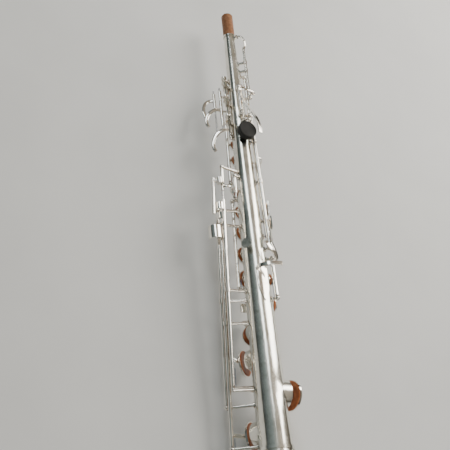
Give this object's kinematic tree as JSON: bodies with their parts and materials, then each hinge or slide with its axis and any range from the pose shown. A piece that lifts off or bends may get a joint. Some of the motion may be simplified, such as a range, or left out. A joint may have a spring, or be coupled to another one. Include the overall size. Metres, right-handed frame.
{
  "type": "soprano saxophone",
  "caption": "Straight soprano saxophone: tapered silver-plated tube with a flared bell, hinged pad keys on rods and posts, thumb rest and thumb hook.",
  "frame": {"origin": "on the tube axis where the neck cork begins, 1.2 mm below the neck tip", "axes": "+Y out of the mouthpiece end along the tube axis, +Z out of the back (thumb side), +X to the player's right"},
  "size_m": [0.1015, 0.6662, 0.092],
  "materials": {
    "body_silver": "satin silver plate, lightly tarnished",
    "key_silver": "polished silver plate",
    "post_silver": "polished silver plate",
    "steel_rod": "turned steel",
    "spring_steel": "blued steel",
    "cork": "waxed natural cork",
    "pad_leather": "tan kid leather",
    "black_thumb_rest": "black hard rubber",
    "pearl": "mother-of-pearl",
    "button_grey": "worn grey metal"
  },
  "bodies": {
    "key_b": {"key_b": "key_silver", "key_b_pad": "pad_leather", "key_b_pearl": "pearl"},
    "key_a": {"key_a": "key_silver", "key_a_pad": "pad_leather", "key_a_pearl": "pearl"},
    "key_g": {"key_g": "key_silver", "key_g_pad": "pad_leather", "key_g_pearl": "pearl"},
    "key_f_sharp": {"key_f_sharp": "key_silver", "key_f_sharp_pad": "pad_leather"},
    "key_f": {"key_f": "key_silver", "key_f_pad": "pad_leather", "key_f_pearl": "pearl"},
    "key_e": {"key_e": "key_silver", "key_e_pad": "pad_leather", "key_e_pearl": "pearl"},
    "key_d": {"key_d": "key_silver", "key_d_pad": "pad_leather", "key_d_pearl": "pearl"},
    "key_low_c_sharp": {"key_low_c_sharp": "key_silver", "key_low_c_sharp_pad": "pad_leather"},
    "key_low_b_flat": {"key_low_b_flat": "key_silver", "key_low_b_flat_pad": "pad_leather"},
    "key_low_b": {"key_low_b": "key_silver", "key_low_b_pad": "pad_leather"},
    "low_b_lever": {"low_b_lever": "key_silver"},
    "key_low_c": {"key_low_c": "key_silver", "key_low_c_pad": "pad_leather"},
    "key_e_flat": {"key_e_flat": "key_silver", "key_e_flat_pad": "pad_leather"},
    "key_g_sharp": {"key_g_sharp": "key_silver", "key_g_sharp_pad": "pad_leather"},
    "g_sharp_lever": {"g_sharp_lever": "key_silver"},
    "key_palm_f": {"key_palm_f": "key_silver", "key_palm_f_pad": "pad_leather"},
    "key_palm_e_flat": {"key_palm_e_flat": "key_silver", "key_palm_e_flat_pad": "pad_leather"},
    "key_palm_d": {"key_palm_d": "key_silver", "key_palm_d_pad": "pad_leather"},
    "key_side_e": {"key_side_e": "key_silver", "key_side_e_pad": "pad_leather"},
    "key_side_c": {"key_side_c": "key_silver", "key_side_c_pad": "pad_leather"},
    "key_side_b_flat": {"key_side_b_flat": "key_silver", "key_side_b_flat_pad": "pad_leather"},
    "key_trill": {"key_trill": "key_silver", "key_trill_pad": "pad_leather"},
    "octave_lever": {"octave_lever": "key_silver"},
    "upper_octave_key": {"upper_octave_key": "key_silver"},
    "lower_octave_key": {"lower_octave_key": "key_silver"},
    "root": {"body_tube": "body_silver", "bell": "body_silver", "neck_cork": "cork", "key_posts": "post_silver", "hinge_rods": "steel_rod", "needle_springs": "spring_steel", "thumb_rest": "black_thumb_rest", "thumb_button": "button_grey", "thumb_hook": "post_silver"}
  },
  "joints": [
    {"name": "key_b_hinge", "type": "hinge", "parent": "root", "child": "key_b", "pos_m": [-0.01348, -0.209, -0.01348], "axis": [-0.0147, -0.9998, -0.0147], "range_deg": [0, 11], "stiffness_Nm_per_rad": 0.01, "springref_deg": -57.3},
    {"name": "key_a_hinge", "type": "hinge", "parent": "root", "child": "key_a", "pos_m": [-0.01383, -0.233, -0.01383], "axis": [-0.0147, -0.9998, -0.0147], "range_deg": [0, 11], "stiffness_Nm_per_rad": 0.01, "springref_deg": -57.3},
    {"name": "key_g_hinge", "type": "hinge", "parent": "root", "child": "key_g", "pos_m": [-0.01421, -0.259, -0.01421], "axis": [-0.0147, -0.9998, -0.0147], "range_deg": [0, 11], "stiffness_Nm_per_rad": 0.01, "springref_deg": -57.3},
    {"name": "key_f_sharp_hinge", "type": "hinge", "parent": "root", "child": "key_f_sharp", "pos_m": [-0.01498, -0.311, -0.01498], "axis": [-0.0147, -0.9998, -0.0147], "range_deg": [0, 11], "stiffness_Nm_per_rad": 0.01, "springref_deg": -57.3},
    {"name": "key_f_hinge", "type": "hinge", "parent": "root", "child": "key_f", "pos_m": [-0.01541, -0.34, -0.01541], "axis": [-0.0147, -0.9998, -0.0147], "range_deg": [0, 11], "stiffness_Nm_per_rad": 0.01, "springref_deg": -57.3},
    {"name": "key_e_hinge", "type": "hinge", "parent": "root", "child": "key_e", "pos_m": [-0.01586, -0.371, -0.01586], "axis": [-0.0147, -0.9998, -0.0147], "range_deg": [0, 11], "stiffness_Nm_per_rad": 0.01, "springref_deg": -57.3},
    {"name": "key_d_hinge", "type": "hinge", "parent": "root", "child": "key_d", "pos_m": [-0.01635, -0.404, -0.01635], "axis": [-0.0147, -0.9998, -0.0147], "range_deg": [0, 11], "stiffness_Nm_per_rad": 0.01, "springref_deg": -57.3},
    {"name": "key_low_c_sharp_hinge", "type": "hinge", "parent": "root", "child": "key_low_c_sharp", "pos_m": [-0.039, -0.512, -0.00941], "axis": [-0.01, -0.9975, -0.0696], "range_deg": [0, 16], "stiffness_Nm_per_rad": 0.01, "springref_deg": -57.3},
    {"name": "key_low_b_flat_hinge", "type": "hinge", "parent": "root", "child": "key_low_b_flat", "pos_m": [-0.04218, -0.6, -0.02115], "axis": [-0.01, -0.9975, -0.0696], "range_deg": [0, 16], "stiffness_Nm_per_rad": 0.01, "springref_deg": -57.3},
    {"name": "key_low_b_hinge", "type": "hinge", "parent": "root", "child": "key_low_b", "pos_m": [0.00693, -0.556, -0.02588], "axis": [0.0054, -0.9998, -0.0201], "range_deg": [0, 15], "stiffness_Nm_per_rad": 0.01, "springref_deg": -57.3},
    {"name": "low_b_lever_hinge", "type": "hinge", "parent": "root", "child": "low_b_lever", "pos_m": [-0.04283, -0.545, -0.02311], "axis": [-0.01, -0.9975, -0.0696], "range_deg": [-10, 0], "stiffness_Nm_per_rad": 0.01, "springref_deg": 57.3},
    {"name": "key_low_c_hinge", "type": "hinge", "parent": "root", "child": "key_low_c", "pos_m": [0.01967, -0.476, -0.01482], "axis": [0.0166, -0.9998, -0.0125], "range_deg": [-12, 0], "stiffness_Nm_per_rad": 0.01, "springref_deg": 57.3},
    {"name": "key_e_flat_hinge", "type": "hinge", "parent": "root", "child": "key_e_flat", "pos_m": [0.0034, -0.442, -0.02418], "axis": [0.0029, -0.9998, -0.0206], "range_deg": [-12, 0], "stiffness_Nm_per_rad": 0.01, "springref_deg": 57.3},
    {"name": "key_g_sharp_hinge", "type": "hinge", "parent": "root", "child": "key_g_sharp", "pos_m": [-0.01851, -0.286, 0.00496], "axis": [-0.0201, -0.9998, 0.0054], "range_deg": [-10, 0], "stiffness_Nm_per_rad": 0.01, "springref_deg": 57.3},
    {"name": "g_sharp_lever_hinge", "type": "hinge", "parent": "root", "child": "g_sharp_lever", "pos_m": [-0.03674, -0.288, 0.00622], "axis": [-0.01, -0.9975, -0.0696], "range_deg": [0, 8], "stiffness_Nm_per_rad": 0.01, "springref_deg": -57.3},
    {"name": "key_palm_f_hinge", "type": "hinge", "parent": "root", "child": "key_palm_f", "pos_m": [-0.014, -0.1245, -0.0005], "axis": [0, -1, 0], "range_deg": [-10, 0], "stiffness_Nm_per_rad": 0.01, "springref_deg": 57.3},
    {"name": "key_palm_e_flat_hinge", "type": "hinge", "parent": "root", "child": "key_palm_e_flat", "pos_m": [-0.02, -0.1395, -0.008], "axis": [0, -1, 0], "range_deg": [-8, 0], "stiffness_Nm_per_rad": 0.01, "springref_deg": 57.3},
    {"name": "key_palm_d_hinge", "type": "hinge", "parent": "root", "child": "key_palm_d", "pos_m": [-0.0245, -0.155, -0.017], "axis": [0, -1, 0], "range_deg": [-6, 0], "stiffness_Nm_per_rad": 0.01, "springref_deg": 57.3},
    {"name": "key_side_e_hinge", "type": "hinge", "parent": "root", "child": "key_side_e", "pos_m": [0.01558, -0.117, 0.00136], "axis": [0.0208, -0.9998, 0.0018], "range_deg": [0, 10], "stiffness_Nm_per_rad": 0.01, "springref_deg": -57.3},
    {"name": "key_side_c_hinge", "type": "hinge", "parent": "root", "child": "key_side_c", "pos_m": [0.01518, -0.188, 0.00676], "axis": [0.019, -0.9998, 0.0085], "range_deg": [0, 9], "stiffness_Nm_per_rad": 0.01, "springref_deg": -57.3},
    {"name": "key_side_b_flat_hinge", "type": "hinge", "parent": "root", "child": "key_side_b_flat", "pos_m": [0.01336, -0.243, 0.01246], "axis": [0.0152, -0.9998, 0.0142], "range_deg": [0, 8], "stiffness_Nm_per_rad": 0.01, "springref_deg": -57.3},
    {"name": "key_trill_hinge", "type": "hinge", "parent": "root", "child": "key_trill", "pos_m": [0.01592, -0.411, 0.01485], "axis": [0.0152, -0.9998, 0.0142], "range_deg": [0, 8], "stiffness_Nm_per_rad": 0.01, "springref_deg": -57.3},
    {"name": "octave_lever_hinge", "type": "hinge", "parent": "root", "child": "octave_lever", "pos_m": [-0.0036, -0.157, 0.01689], "axis": [0, -0.9997, 0.0232], "range_deg": [-5, 0], "stiffness_Nm_per_rad": 0.01, "springref_deg": 57.3},
    {"name": "upper_octave_hinge", "type": "hinge", "parent": "root", "child": "upper_octave_key", "pos_m": [0.01428, -0.1, 0.01148], "axis": [0.0069, -1, 0.0069], "range_deg": [-17.5, 0], "stiffness_Nm_per_rad": 0.01, "springref_deg": 57.3},
    {"name": "lower_octave_hinge", "type": "hinge", "parent": "root", "child": "lower_octave_key", "pos_m": [0.01082, -0.186, 0.01121], "axis": [0.0145, -0.9998, 0.015], "range_deg": [-14, 0], "stiffness_Nm_per_rad": 0.01, "springref_deg": 57.3}
  ],
  "couplings": [
    {"joint": "key_f_sharp_hinge", "follows": "key_f_hinge", "ratio": 1},
    {"joint": "key_low_b_hinge", "follows": "low_b_lever_hinge", "ratio": -1.5},
    {"joint": "key_g_sharp_hinge", "follows": "g_sharp_lever_hinge", "ratio": -1.25},
    {"joint": "upper_octave_hinge", "follows": "octave_lever_hinge", "ratio": 3.5}
  ]
}
